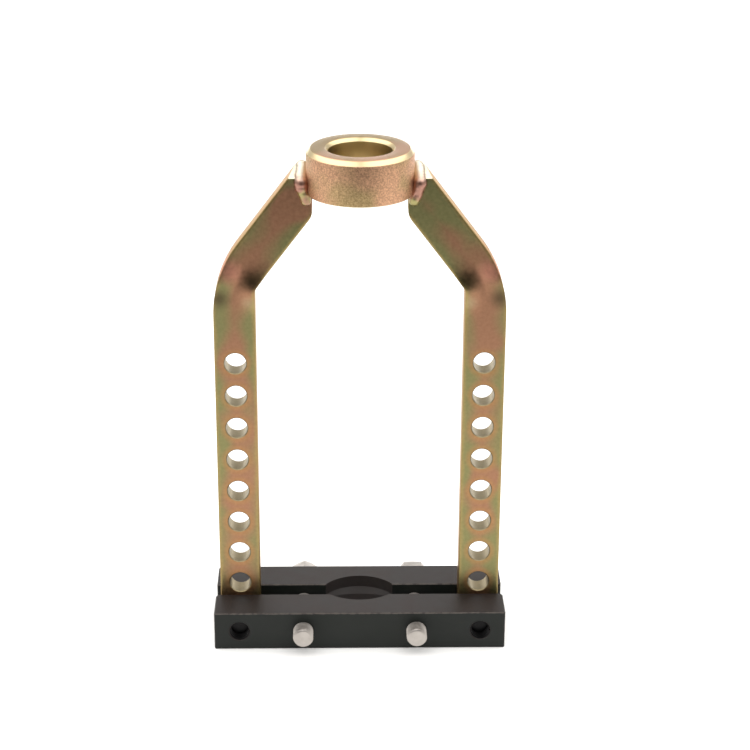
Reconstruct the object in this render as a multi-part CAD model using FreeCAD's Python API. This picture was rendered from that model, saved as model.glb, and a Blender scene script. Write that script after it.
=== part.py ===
import FreeCAD, Part
import math
import os

# Joint and propshaft puller frame, in millimetres.
# A collar is welded to two flat-bar arms, and two square jaw bars close on the shaft across the arms' feet.
# X runs along the jaws, Y from the front jaw to the rear one, Z up.
# The origin is on the floor, midway between the jaws and between the arms.

# Jaws: two lengths of square bar that hold the arms between them
JAW_LENGTH = 145.0
JAW_SECTION = 20.0
JAW_EDGE_BREAK = 0.5
JAW_CORNER_ROUND = 0.8
JAW_END_ROUND = 2.0
THROAT_RADIUS = 22.5
THROAT_DEPTH = 6.1
SEAT_RADIUS = 20.5
SEAT_DEPTH = 9.0
SEAT_WALL = 6.0
SEAT_CONE = 2.9

# Arms: flat bar, drilled in a row and bent edgewise towards the collar
ARM_WIDTH = 20.0
ARM_THICKNESS = 10.0
ARM_SPACING = 120.0
ARM_FOOT_Z = 0.5
BEND_Z = 187.0
BEND_DEGREES = 37.0
BEND_INNER_RADIUS = 4.0
BEND_OUTER_RADIUS = 60.0
ARM_TIP_X = 22.5
ARM_TIP_ROUND = 2.5
ARM_EDGE_BREAK = 0.5
HOLE_DIAMETER = 10.5
HOLE_PITCH = 17.0
HOLE_COUNT = 9
HOLE_EDGE_BREAK = 0.4

# Collar: turned ring that the puller's spindle passes through
COLLAR_DIAMETER = 50.8
COLLAR_HEIGHT = 21.6
COLLAR_BASE_Z = 230.7
COLLAR_CHAMFER = 2.2
COLLAR_LOW_CHAMFER = 0.6
BORE_DIAMETER = 30.0
BORE_CHAMFER = 1.6

# Weld: one bead per arm, up the front corner, over the top edge and down the rear corner. It starts narrow at the
# collar's foot and widens outwards. The arm's top corner is burnt away under it, further down at the front.
WELD_FOOT = (25.3, 226.6, 2.6)
WELD_FRONT_TOP = (27.6, 236.4, 3.4)
WELD_REAR_TOP = (27.0, 241.0, 3.4)
BURN_MIDDLE_Z = 240.75
BURN_SLOPE = 0.45

# Screws: metric M10
THREAD_DIAMETER = 10.0
FIT_CLEARANCE = 0.06
THREAD_TIP_CHAMFER = 1.0
TAPPED_MOUTH_CHAMFER = 0.3
BOLT_SPACING = 56.4
BOLT_LENGTH = 60.0
BOLT_HEAD_FLATS = 16.0
BOLT_HEAD_HEIGHT = 6.4
BOLT_CROWN_INSET = 0.4
BOLT_CROWN_DEGREES = 30.0
WASHER_DIAMETER = 18.1
WASHER_THICKNESS = 2.2
WASHER_SPLIT = 1.0
END_SCREW_LENGTH = 45.0
CAP_DIAMETER = 16.0
CAP_HEIGHT = 10.0
CAP_EDGE_BREAK = 0.8
HEX_SOCKET_FLATS = 8.0
HEX_SOCKET_DEPTH = 5.0

# Worked-out places
HALF_GAP = ARM_THICKNESS / 2
REAR_FACE_Y = HALF_GAP + JAW_SECTION
SCREW_Z = JAW_SECTION / 2
ARM_X = ARM_SPACING / 2
BOLT_X = BOLT_SPACING / 2
COLLAR_RADIUS = COLLAR_DIAMETER / 2
COLLAR_TOP_Z = COLLAR_BASE_Z + COLLAR_HEIGHT
SCREW_HOLE_RADIUS = THREAD_DIAMETER / 2 + FIT_CLEARANCE

X_AXIS = FreeCAD.Vector(1, 0, 0)
Y_AXIS = FreeCAD.Vector(0, 1, 0)
Z_AXIS = FreeCAD.Vector(0, 0, 1)


def point(x, y, z):
    return FreeCAD.Vector(x, y, z)


def rounded_outline(corners):
    """A closed wire through (point, radius) corners of one plane, each corner rounded by a tangent arc."""
    edges = []
    spans = []
    for i, (corner, radius) in enumerate(corners):
        to_last = (corners[i - 1][0] - corner).normalize()
        to_next = (corners[(i + 1) % len(corners)][0] - corner).normalize()
        if radius == 0:
            spans.append((corner, None, corner))
            continue
        half_angle = to_last.getAngle(to_next) / 2
        reach = radius / math.tan(half_angle)
        centre_way = (to_last + to_next).normalize()
        apex = corner + centre_way * (radius / math.sin(half_angle) - radius)
        spans.append((corner + to_last * reach, apex, corner + to_next * reach))
    for i, (start, apex, end) in enumerate(spans):
        if apex is not None:
            edges.append(Part.Arc(start, apex, end).toShape())
        edges.append(Part.LineSegment(end, spans[(i + 1) % len(spans)][0]).toShape())
    return Part.Wire(edges)


def along_y(radius, x, start_y, end_y, z=SCREW_Z):
    """A cylinder along Y between two Y values."""
    return Part.makeCylinder(radius, end_y - start_y, point(x, start_y, z), Y_AXIS)


def cone_along_y(start_radius, end_radius, x, start_y, end_y, z=SCREW_Z):
    return Part.makeCone(start_radius, end_radius, end_y - start_y, point(x, start_y, z), Y_AXIS)


def mirrored(shape):
    """The same shape on the other side of the YZ plane."""
    return shape.mirror(point(0, 0, 0), X_AXIS)


def collar():
    """The ring's section, turned about the Z axis."""
    bore_radius = BORE_DIAMETER / 2
    mouth_radius = bore_radius + BORE_CHAMFER
    section = Part.makePolygon(
        [
            point(bore_radius, 0, COLLAR_BASE_Z + BORE_CHAMFER),
            point(mouth_radius, 0, COLLAR_BASE_Z),
            point(COLLAR_RADIUS - COLLAR_LOW_CHAMFER, 0, COLLAR_BASE_Z),
            point(COLLAR_RADIUS, 0, COLLAR_BASE_Z + COLLAR_LOW_CHAMFER),
            point(COLLAR_RADIUS, 0, COLLAR_TOP_Z - COLLAR_CHAMFER),
            point(COLLAR_RADIUS - COLLAR_CHAMFER, 0, COLLAR_TOP_Z),
            point(mouth_radius, 0, COLLAR_TOP_Z),
            point(bore_radius, 0, COLLAR_TOP_Z - BORE_CHAMFER),
            point(bore_radius, 0, COLLAR_BASE_Z + BORE_CHAMFER),
        ]
    )
    return Part.Face(section).revolve(point(0, 0, 0), Z_AXIS, 360)


def edge_z(offset, x):
    """Height of the sloping edge that lies this far outside the right arm's middle line, at an x."""
    slope = math.radians(BEND_DEGREES)
    bend_z = BEND_Z + math.tan(slope / 2) * offset
    return bend_z + (ARM_X + offset - x) / math.tan(slope)


def arm_outline():
    """The right arm's outline at its front face: a straight leg, an edgewise bend and the slope to the collar."""
    half = ARM_WIDTH / 2
    inner_x = ARM_X - half
    outer_x = ARM_X + half
    front_y = -ARM_THICKNESS / 2
    return [
        (point(inner_x, front_y, ARM_FOOT_Z), 0),
        (point(outer_x, front_y, ARM_FOOT_Z), 0),
        (point(outer_x, front_y, edge_z(half, outer_x)), BEND_OUTER_RADIUS),
        (point(ARM_TIP_X, front_y, edge_z(half, ARM_TIP_X)), 0),
        (point(ARM_TIP_X, front_y, edge_z(-half, ARM_TIP_X)), ARM_TIP_ROUND),
        (point(inner_x, front_y, edge_z(-half, inner_x)), BEND_INNER_RADIUS),
    ]


def burnt_away():
    """All that lies above the sloping plane down to which the weld burnt the right arm's top corner."""
    reach = ARM_THICKNESS
    outline = Part.makePolygon(
        [
            point(0, -reach, BURN_MIDDLE_Z - BURN_SLOPE * reach),
            point(0, reach, BURN_MIDDLE_Z + BURN_SLOPE * reach),
            point(0, reach, 2 * COLLAR_TOP_Z),
            point(0, -reach, 2 * COLLAR_TOP_Z),
            point(0, -reach, BURN_MIDDLE_Z - BURN_SLOPE * reach),
        ]
    )
    return Part.Face(outline).extrude(X_AXIS * ARM_X)


def tapered_run(start, start_radius, end, end_radius):
    """A cone or cylinder between two points."""
    way = end - start
    if start_radius == end_radius:
        return Part.makeCylinder(start_radius, way.Length, start, way)
    return Part.makeCone(start_radius, end_radius, way.Length, start, way)


def right_arm():
    blank = Part.Face(rounded_outline(arm_outline())).extrude(Y_AXIS * ARM_THICKNESS)
    face_edges = [e for e in blank.Edges if e.BoundBox.YLength < HOLE_EDGE_BREAK]
    arm = blank.makeChamfer(ARM_EDGE_BREAK, face_edges)
    hole_radius = HOLE_DIAMETER / 2
    wide_radius = hole_radius + HOLE_EDGE_BREAK
    half = ARM_THICKNESS / 2
    for i in range(HOLE_COUNT):
        z = SCREW_Z + i * HOLE_PITCH
        arm = arm.cut(along_y(hole_radius, ARM_X, -half, half, z))
        arm = arm.cut(cone_along_y(wide_radius, hole_radius, ARM_X, -half, HOLE_EDGE_BREAK - half, z))
        arm = arm.cut(cone_along_y(hole_radius, wide_radius, ARM_X, half - HOLE_EDGE_BREAK, half, z))
    # The end is coped round the collar, which sits on the step that is left below it.
    cope = Part.makeCylinder(COLLAR_RADIUS, 2 * COLLAR_HEIGHT, point(0, 0, COLLAR_BASE_Z))
    return arm.cut(cope).cut(burnt_away())


def right_weld():
    """A round bead that follows the arm's front corner, top edge and rear corner against the collar."""
    half = ARM_THICKNESS / 2
    stops = [(WELD_FOOT, -half), (WELD_FRONT_TOP, -half), (WELD_REAR_TOP, half), (WELD_FOOT, half)]
    bead = None
    last = None
    for (x, z, radius), y in stops:
        stop = point(x, y, z)
        drop = Part.makeSphere(radius, stop)
        bead = drop if bead is None else bead.fuse(drop)
        if last is not None:
            bead = bead.fuse(tapered_run(*last, stop, radius))
        last = (stop, radius)
    whole_arm = Part.Face(rounded_outline(arm_outline())).extrude(Y_AXIS * ARM_THICKNESS)
    inside = Part.makeCylinder(COLLAR_RADIUS, 3 * COLLAR_HEIGHT, point(0, 0, COLLAR_BASE_Z - COLLAR_HEIGHT))
    return bead.cut(whole_arm.cut(burnt_away())).cut(inside)


def jaw_blank(front_round, rear_round):
    """A square bar behind the gap, with its vertical corners rounded and its long edges broken."""
    half = JAW_LENGTH / 2
    outline = rounded_outline(
        [
            (point(-half, HALF_GAP, 0), front_round),
            (point(half, HALF_GAP, 0), front_round),
            (point(half, REAR_FACE_Y, 0), rear_round),
            (point(-half, REAR_FACE_Y, 0), rear_round),
        ]
    )
    bar = Part.Face(outline).extrude(Z_AXIS * JAW_SECTION)
    level = [e for e in bar.Edges if e.BoundBox.ZLength < JAW_EDGE_BREAK]
    return bar.makeChamfer(JAW_EDGE_BREAK, level)


def mouth():
    """What is cut from a jaw behind the gap: a throat right through, and a wider seat with a cone below it."""
    throat_y = HALF_GAP + THROAT_DEPTH - THROAT_RADIUS
    seat_y = HALF_GAP + SEAT_DEPTH - SEAT_RADIUS
    seat_z = JAW_SECTION - SEAT_WALL
    throat = Part.makeCylinder(THROAT_RADIUS, JAW_SECTION, point(0, throat_y, 0))
    seat = Part.makeCylinder(SEAT_RADIUS, SEAT_WALL, point(0, seat_y, seat_z))
    cone = Part.makeCone(
        SEAT_RADIUS - SEAT_CONE, SEAT_RADIUS, SEAT_CONE, point(0, seat_y, seat_z - SEAT_CONE)
    )
    return throat.fuse([seat, cone])


def screw_holes(bar):
    for x in (-ARM_X, -BOLT_X, BOLT_X, ARM_X):
        bar = bar.cut(along_y(SCREW_HOLE_RADIUS, x, HALF_GAP, REAR_FACE_Y))
    return bar


def rear_jaw():
    return screw_holes(jaw_blank(JAW_CORNER_ROUND, JAW_END_ROUND).cut(mouth()))


def front_jaw():
    """The bar turned over, so its seat faces down; all four of its holes are tapped."""
    bar = screw_holes(jaw_blank(JAW_END_ROUND, JAW_CORNER_ROUND).cut(mouth()))
    wide = SCREW_HOLE_RADIUS + TAPPED_MOUTH_CHAMFER
    for x in (-ARM_X, ARM_X):
        start_y = REAR_FACE_Y - TAPPED_MOUTH_CHAMFER
        bar = bar.cut(cone_along_y(SCREW_HOLE_RADIUS, wide, x, start_y, REAR_FACE_Y))
    bar.rotate(point(0, 0, SCREW_Z), X_AXIS, 180)
    return bar


def threaded_rod(x, under_head_y, length):
    """A plain rod of the thread's outer diameter, pointing at the front, with a chamfered tip."""
    radius = THREAD_DIAMETER / 2
    tip_y = under_head_y - length
    rod = along_y(radius, x, tip_y + THREAD_TIP_CHAMFER, under_head_y)
    tip = cone_along_y(radius - THREAD_TIP_CHAMFER, radius, x, tip_y, tip_y + THREAD_TIP_CHAMFER)
    return rod.fuse(tip)


def hexagon(flats, x, start_y, height, turn_degrees):
    """A hexagonal prism along Y; a turn of 0 degrees puts a corner at the top."""
    corners = []
    for i in range(7):
        angle = math.radians(60 * i + turn_degrees)
        reach = flats / 2 / math.cos(math.pi / 6)
        corners.append(point(x + reach * math.sin(angle), start_y, SCREW_Z + reach * math.cos(angle)))
    return Part.Face(Part.makePolygon(corners)).extrude(Y_AXIS * height)


def clamp_bolt(x, turn_degrees):
    """Hexagon head screw, its head against the lock washer behind the rear jaw."""
    under_head_y = REAR_FACE_Y + WASHER_THICKNESS
    head = hexagon(BOLT_HEAD_FLATS, x, under_head_y, BOLT_HEAD_HEIGHT, turn_degrees)
    corner_radius = BOLT_HEAD_FLATS / 2 / math.cos(math.pi / 6)
    head_top_y = under_head_y + BOLT_HEAD_HEIGHT
    top_radius = BOLT_HEAD_FLATS / 2 - BOLT_CROWN_INSET
    crown_height = (corner_radius - top_radius) * math.tan(math.radians(BOLT_CROWN_DEGREES))
    crown = cone_along_y(corner_radius, top_radius, x, head_top_y - crown_height, head_top_y)
    drum = along_y(corner_radius, x, under_head_y, head_top_y - crown_height)
    return threaded_rod(x, under_head_y, BOLT_LENGTH).fuse(head.common(drum.fuse(crown)))


def lock_washer(x):
    """Split spring washer, flattened by the bolt's head."""
    ring = along_y(WASHER_DIAMETER / 2, x, REAR_FACE_Y, REAR_FACE_Y + WASHER_THICKNESS)
    ring = ring.cut(along_y(SCREW_HOLE_RADIUS, x, REAR_FACE_Y, REAR_FACE_Y + WASHER_THICKNESS))
    split = Part.makeBox(
        WASHER_SPLIT,
        WASHER_THICKNESS,
        WASHER_DIAMETER,
        point(x - WASHER_SPLIT / 2, REAR_FACE_Y, SCREW_Z),
    )
    return ring.cut(split)


def end_screw(x):
    """Socket head cap screw through the rear jaw and the arm's lowest hole into the front jaw."""
    cap = along_y(CAP_DIAMETER / 2, x, REAR_FACE_Y, REAR_FACE_Y + CAP_HEIGHT)
    rims = [e for e in cap.Edges if isinstance(e.Curve, Part.Circle)]
    top_rim = [e for e in rims if e.BoundBox.YMin > REAR_FACE_Y + CAP_HEIGHT / 2]
    cap = cap.makeChamfer(CAP_EDGE_BREAK, top_rim)
    socket_y = REAR_FACE_Y + CAP_HEIGHT - HEX_SOCKET_DEPTH
    socket = hexagon(HEX_SOCKET_FLATS, x, socket_y, HEX_SOCKET_DEPTH, 0)
    return threaded_rod(x, REAR_FACE_Y, END_SCREW_LENGTH).fuse(cap.cut(socket))


def save(name, shape):
    solids = shape.Solids
    if len(solids) != 1 or not shape.isValid():
        raise ValueError(f"{name}: {len(solids)} solids, valid {shape.isValid()}")
    solids[0].exportStep(f"parts/{name}.step")
    box = shape.BoundBox
    print(
        f"{name:18s} {shape.Volume / 1000:8.2f} cm3  x {box.XMin:.1f}..{box.XMax:.1f}"
        f"  y {box.YMin:.1f}..{box.YMax:.1f}  z {box.ZMin:.1f}..{box.ZMax:.1f}"
    )


os.makedirs("parts", exist_ok=True)
save("collar", collar())
save("arm_right", right_arm())
save("arm_left", mirrored(right_arm()))
save("weld_right", right_weld())
save("weld_left", mirrored(right_weld()))
save("front_jaw", front_jaw())
save("rear_jaw", rear_jaw())
for side, sign, turn in (("left", -1, 30), ("right", 1, 0)):
    save(f"clamp_bolt_{side}", clamp_bolt(sign * BOLT_X, turn))
    save(f"lock_washer_{side}", lock_washer(sign * BOLT_X))
    save(f"end_screw_{side}", end_screw(sign * ARM_X))
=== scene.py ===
import bpy
import bmesh
import math
import random
from mathutils import Matrix, Quaternion, Vector


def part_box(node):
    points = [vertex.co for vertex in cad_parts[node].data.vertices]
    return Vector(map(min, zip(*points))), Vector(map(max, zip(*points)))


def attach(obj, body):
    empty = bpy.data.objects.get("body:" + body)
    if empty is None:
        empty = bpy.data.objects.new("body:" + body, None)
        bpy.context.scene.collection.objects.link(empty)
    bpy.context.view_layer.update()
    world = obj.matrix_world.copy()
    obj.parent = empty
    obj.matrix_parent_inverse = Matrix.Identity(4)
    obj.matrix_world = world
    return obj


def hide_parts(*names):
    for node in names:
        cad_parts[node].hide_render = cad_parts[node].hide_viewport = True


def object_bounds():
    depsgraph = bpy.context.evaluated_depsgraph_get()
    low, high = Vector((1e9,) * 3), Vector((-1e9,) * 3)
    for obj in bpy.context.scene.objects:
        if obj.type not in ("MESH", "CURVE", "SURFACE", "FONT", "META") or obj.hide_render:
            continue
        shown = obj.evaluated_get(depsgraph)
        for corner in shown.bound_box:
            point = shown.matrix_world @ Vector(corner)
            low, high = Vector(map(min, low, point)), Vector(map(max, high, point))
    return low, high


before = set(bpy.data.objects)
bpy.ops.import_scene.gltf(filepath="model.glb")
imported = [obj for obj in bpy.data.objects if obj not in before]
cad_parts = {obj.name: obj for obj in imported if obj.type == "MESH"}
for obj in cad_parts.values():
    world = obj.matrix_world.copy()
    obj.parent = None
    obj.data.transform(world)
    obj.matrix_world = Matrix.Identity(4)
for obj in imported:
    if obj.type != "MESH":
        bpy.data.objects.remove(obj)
cad_low, cad_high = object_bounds()

# Collar: a ring turned from round bar, bored and bevelled, zinc plated and passivated in yellow chromate.
# Its side keeps a coarse, grainy skin; both end faces are faced smooth, and the bevels carry a painted
# highlight, a paler colour.
MM = 0.001
collar_low, collar_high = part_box("collar")
collar_radius = collar_high.x
collar_height = collar_high.z - collar_low.z
bore_radius = 15.0 * MM
top_bevel = 2.2 * MM
low_bevel = 0.6 * MM
bore_bevel = 1.6 * MM


def deselect():
    bpy.ops.object.select_all(action="DESELECT")


def edit(piece):
    """Opens one piece in edit mode with nothing in it selected."""
    deselect()
    piece.select_set(True)
    bpy.context.view_layer.objects.active = piece
    bpy.ops.object.mode_set(mode="EDIT")
    bpy.ops.mesh.select_mode(type="VERT")
    bpy.ops.mesh.select_all(action="DESELECT")


def leave_edit():
    bpy.ops.object.mode_set(mode="OBJECT")


def pick(piece, kind, chosen):
    """In edit mode, selects just the vertices, edges or faces whose centre passes a test."""
    bpy.ops.mesh.select_mode(type={"verts": "VERT", "edges": "EDGE", "faces": "FACE"}[kind])
    bpy.ops.mesh.select_all(action="DESELECT")
    mesh = bmesh.from_edit_mesh(piece.data)
    for item in getattr(mesh, kind):
        if kind == "verts":
            centre = item.co
        elif kind == "edges":
            centre = (item.verts[0].co + item.verts[1].co) / 2
        else:
            centre = item.calc_center_median()
        if chosen(centre, item):
            item.select_set(True)
    bmesh.update_edit_mesh(piece.data)


def apply_modifier(piece, kind, **settings):
    """Adds one modifier with its settings and applies it."""
    deselect()
    piece.select_set(True)
    bpy.context.view_layer.objects.active = piece
    modifier = piece.modifiers.new(kind, kind)
    for name, value in settings.items():
        setattr(modifier, name, value)
    bpy.ops.object.modifier_apply(modifier=modifier.name)


def place(piece):
    """Puts the object's place, turn and scale into its mesh."""
    deselect()
    piece.select_set(True)
    bpy.context.view_layer.objects.active = piece
    bpy.ops.object.transform_apply(location=True, rotation=True, scale=True)


def face_outwards(piece):
    edit(piece)
    bpy.ops.mesh.select_all(action="SELECT")
    bpy.ops.mesh.remove_doubles(threshold=0.001 * MM)
    bpy.ops.mesh.normals_make_consistent(inside=False)
    leave_edit()


def smooth(piece, degrees=32):
    deselect()
    piece.select_set(True)
    bpy.context.view_layer.objects.active = piece
    bpy.ops.object.shade_smooth_by_angle(angle=math.radians(degrees))


def soften(piece, width, segments=2, degrees=30):
    """Rounds a piece's sharp edges a little, as tumbling and plating do."""
    apply_modifier(
        piece, "BEVEL", width=width, segments=segments, limit_method="ANGLE",
        angle_limit=math.radians(degrees), use_clamp_overlap=False,
    )
    smooth(piece)


def ring(name, outer_radius, inner_radius, low, height, steps=192, low_rim=0.0, top_rim=0.0, hole_rim=0.0):
    """A bored disc about Z: a cylinder with bevelled rims, inset at both ends and bridged through."""
    deselect()
    bpy.ops.mesh.primitive_cylinder_add(
        vertices=steps, radius=outer_radius, depth=height, location=(0, 0, low + height / 2)
    )
    piece = bpy.context.object
    piece.name = name
    place(piece)
    edit(piece)
    for rim_z, bevel in ((low, low_rim), (low + height, top_rim)):
        if bevel:
            pick(piece, "edges", lambda c, e: all(abs(v.co.z - rim_z) < 0.001 * MM for v in e.verts))
            bpy.ops.mesh.bevel(offset=bevel, segments=1, affect="EDGES")
        pick(piece, "faces", lambda c, f: abs(c.z - rim_z) < 0.001 * MM)
        bpy.ops.mesh.inset(thickness=outer_radius - bevel - inner_radius - hole_rim, depth=0)
        if hole_rim:
            bpy.ops.mesh.inset(thickness=hole_rim, depth=-hole_rim)
    pick(piece, "faces", lambda c, f: len(f.verts) == steps)
    bpy.ops.mesh.bridge_edge_loops()
    leave_edit()
    face_outwards(piece)
    return piece


def linear(hex_colour):
    """A linear RGBA colour from an sRGB one written as hex."""
    parts = [int(hex_colour[i : i + 2], 16) / 255 for i in (1, 3, 5)]
    return [p / 12.92 if p <= 0.04045 else ((p + 0.055) / 1.055) ** 2.4 for p in parts] + [1.0]


def add(material, kind, inputs=None, **settings):
    """Adds a node. Inputs are given by name or number, as a value or as the socket to link from."""
    made = material.node_tree.nodes.new("ShaderNode" + kind)
    for name, value in settings.items():
        setattr(made, name, value)
    for key, value in (inputs or {}).items():
        if isinstance(value, bpy.types.NodeSocket):
            material.node_tree.links.new(value, made.inputs[key])
        else:
            made.inputs[key].default_value = value
    return made


def new_material(name):
    material = bpy.data.materials.new(name)
    material.use_nodes = True
    return material, material.node_tree.nodes["Principled BSDF"]


def give(piece, material):
    piece.data.materials.clear()
    piece.data.materials.append(material)


def stand_for(piece, node, body):
    """The piece is shown in place of a CAD node and moves with its body."""
    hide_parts(node)
    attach(piece, body)


collar = ring(
    "collar_ring", collar_radius, bore_radius, collar_low.z, collar_height,
    low_rim=low_bevel, top_rim=top_bevel, hole_rim=bore_bevel,
)
soften(collar, 0.22 * MM)

# Turned steel, zinc plated, yellow chromate: a satin metal, tan where the film is thin and olive where it is
# thick.
collar_zinc, shader = new_material("yellow_chromate_on_turned_steel")
place_on = add(collar_zinc, "TexCoord")
cloud = add(
    collar_zinc, "TexNoise", {"Vector": place_on.outputs["Object"], "Scale": 1 / (22 * MM), "Detail": 2.0}
)
cloud_step = add(collar_zinc, "MapRange", {0: cloud.outputs[0], 1: 0.40, 2: 0.60})
film = add(
    collar_zinc, "Mix",
    {0: cloud_step.outputs[0], 6: linear("#c79c7c"), 7: linear("#ae956c")},
    data_type="RGBA",
)
grain = add(
    collar_zinc, "TexNoise",
    {"Vector": place_on.outputs["Object"], "Scale": 1 / (0.8 * MM), "Detail": 4.0, "Roughness": 0.65},
)
xyz = add(collar_zinc, "SeparateXYZ", {0: place_on.outputs["Object"]})
flat_place = add(collar_zinc, "CombineXYZ", {0: xyz.outputs[0], 1: xyz.outputs[1]})
radius = add(collar_zinc, "VectorMath", {0: flat_place.outputs[0]}, operation="LENGTH")
# Painted light: the bore wall is painted lighter and greener, standing in for light bounced round inside the
# bore.
bore_painted_light = add(
    collar_zinc, "MapRange",
    {0: radius.outputs["Value"], 1: bore_radius + 0.1 * MM, 2: bore_radius + 0.4 * MM, 3: 0.7, 4: 0.0},
)
film = add(
    collar_zinc, "Mix", {0: bore_painted_light.outputs[0], 6: film.outputs["Result"], 7: linear("#bcae84")},
    data_type="RGBA",
)
on_top_bevel = add(
    collar_zinc, "Math",
    {0: radius.outputs["Value"], 1: collar_radius - top_bevel / 2, 2: top_bevel / 2 - 0.2 * MM},
    operation="COMPARE",
)
on_bore_bevel = add(
    collar_zinc, "Math",
    {0: radius.outputs["Value"], 1: bore_radius + bore_bevel / 2, 2: bore_bevel / 2 - 0.1 * MM},
    operation="COMPARE",
)
on_bevel = add(
    collar_zinc, "Math", {0: on_top_bevel.outputs[0], 1: on_bore_bevel.outputs[0]}, operation="MAXIMUM"
)
# Painted highlight: the top and bore bevels are painted paler, standing in for the light they catch.
bevel_painted_highlight = add(collar_zinc, "Math", {0: on_bevel.outputs[0], 1: 0.75}, operation="MULTIPLY")
film = add(
    collar_zinc, "Mix", {0: bevel_painted_highlight.outputs[0], 6: film.outputs["Result"], 7: linear("#d8c69a")},
    data_type="RGBA",
)
on_side = add(
    collar_zinc, "MapRange",
    {0: radius.outputs["Value"], 1: collar_radius - 0.25 * MM, 2: collar_radius - 0.1 * MM},
)
grain_shade = add(collar_zinc, "MapRange", {0: grain.outputs[0], 1: 0.34, 2: 0.66, 3: 0.62, 4: 1.25})
side_shade = add(
    collar_zinc, "Mix", {0: on_side.outputs[0], 2: 1.0, 3: grain_shade.outputs[0]}, data_type="FLOAT"
)
shaded = add(
    collar_zinc, "VectorMath", {0: film.outputs["Result"], "Scale": side_shade.outputs["Result"]},
    operation="SCALE",
)
# Facing marks: circles 0.35 mm apart on the end faces, drawn coarser than the real ones so that they show.
marks = add(
    collar_zinc, "Math", {0: radius.outputs["Value"], 1: 2 * math.pi / (0.35 * MM)}, operation="MULTIPLY"
)
mark_wave = add(collar_zinc, "Math", {0: marks.outputs[0]}, operation="SINE")
mark_height = add(collar_zinc, "Math", {0: mark_wave.outputs[0], 1: 0.08}, operation="MULTIPLY")
skin = add(
    collar_zinc, "Mix", {0: on_side.outputs[0], 2: mark_height.outputs[0], 3: grain.outputs[0]},
    data_type="FLOAT",
)
relief = add(collar_zinc, "Bump", {"Height": skin.outputs["Result"], "Strength": 0.7, "Distance": 0.12 * MM})
polish = add(collar_zinc, "MapRange", {0: on_side.outputs[0], 3: 0.30, 4: 0.46})
collar_zinc.node_tree.links.new(shaded.outputs[0], shader.inputs["Base Color"])
collar_zinc.node_tree.links.new(polish.outputs[0], shader.inputs["Roughness"])
collar_zinc.node_tree.links.new(relief.outputs[0], shader.inputs["Normal"])
shader.inputs["Metallic"].default_value = 1.0
give(collar, collar_zinc)
stand_for(collar, "collar", "frame")

# Arms: two lengths of 20 x 10 flat bar, drilled in a row, bent edgewise in a press and coped round the
# collar. The press upsets the inside of the bend, which swells, and thins the outside. The weld has burnt
# the end's top corner away, further down at the front.
arm_low, arm_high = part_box("arm_right")
burn_middle_z = 240.75 * MM
burn_slope = 0.45
burn_tilt = math.atan(burn_slope)
bar_width = 20.0 * MM
bar_thickness = arm_high.y - arm_low.y
arm_outer_x = arm_high.x
arm_inner_x = arm_outer_x - bar_width
arm_middle_x = (arm_outer_x + arm_inner_x) / 2
arm_end_x = arm_low.x
bend = math.radians(37.0)
bend_middle_z = 187.0 * MM
inner_bend_radius = 4.0 * MM
outer_bend_radius = 60.0 * MM
upset_height = 1.6 * MM
upset_reach = 7.0 * MM
thinned_depth = 1.0 * MM
thinned_reach = 8.5 * MM
end_corner_bevel = 2.4 * MM
edge_round = 0.45 * MM
hole_radius = 5.25 * MM
hole_pitch = 17.0 * MM
first_hole_z = 10.0 * MM
hole_count = 9
countersink_depth = 0.4 * MM
countersink_cutter = 1.4 * MM
miter = math.tan(bend / 2) * bar_width / 2
inner_arc_z = bend_middle_z - miter - inner_bend_radius * math.tan(bend / 2)
outer_arc_z = bend_middle_z + miter - outer_bend_radius * math.tan(bend / 2)
cells_across = 16


def arc_point(edge_x, radius, start_z, angle):
    """A point on a bend's arc that starts upright at edge_x and turns towards the collar."""
    return Vector((edge_x - radius + radius * math.cos(angle), 0, start_z + radius * math.sin(angle)))


def bar_rungs():
    """Lines across the bent bar from its inner edge to its outer edge, from the foot to the collar."""
    straight_top = 156.0 * MM
    straight_rows = 36
    rungs = []
    for i in range(straight_rows):
        level = arm_low.z + (straight_top - arm_low.z) * i / straight_rows
        rungs.append((Vector((arm_inner_x, 0, level)), Vector((arm_outer_x, 0, level))))
    for i in range(9):
        inner_z = straight_top + (inner_arc_z - straight_top) * i / 8
        outer_z = straight_top + (outer_arc_z - straight_top) * i / 8
        rungs.append((Vector((arm_inner_x, 0, inner_z)), Vector((arm_outer_x, 0, outer_z))))
    for i in range(1, 21):
        angle = bend * i / 20
        rungs.append(
            (
                arc_point(arm_inner_x, inner_bend_radius, inner_arc_z, angle),
                arc_point(arm_outer_x, outer_bend_radius, outer_arc_z, angle),
            )
        )
    inner, outer = rungs[-1]
    for i in range(1, 17):
        share = (i / 16) ** 1.5
        ends = []
        for start in (inner, outer):
            fall = (start.x - arm_end_x) * share
            ends.append(start + Vector((-fall, 0, fall / math.tan(bend))))
        rungs.append(tuple(ends))
    return rungs


def swelling(spot):
    """How far the bar's faces stand out at a place near the bend: upset inside, thinned outside."""
    inner_corner = arc_point(arm_inner_x, inner_bend_radius, inner_arc_z, bend / 2)
    outer_bow = arc_point(arm_outer_x, outer_bend_radius, outer_arc_z, bend * 0.45)
    inner_reach = math.hypot(spot.x - inner_corner.x, spot.z - inner_corner.z) / upset_reach
    outer_reach = math.hypot(spot.x - outer_bow.x, spot.z - outer_bow.z) / thinned_reach
    return upset_height * math.exp(-(inner_reach**2)) - thinned_depth * math.exp(-(outer_reach**2))


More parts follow.
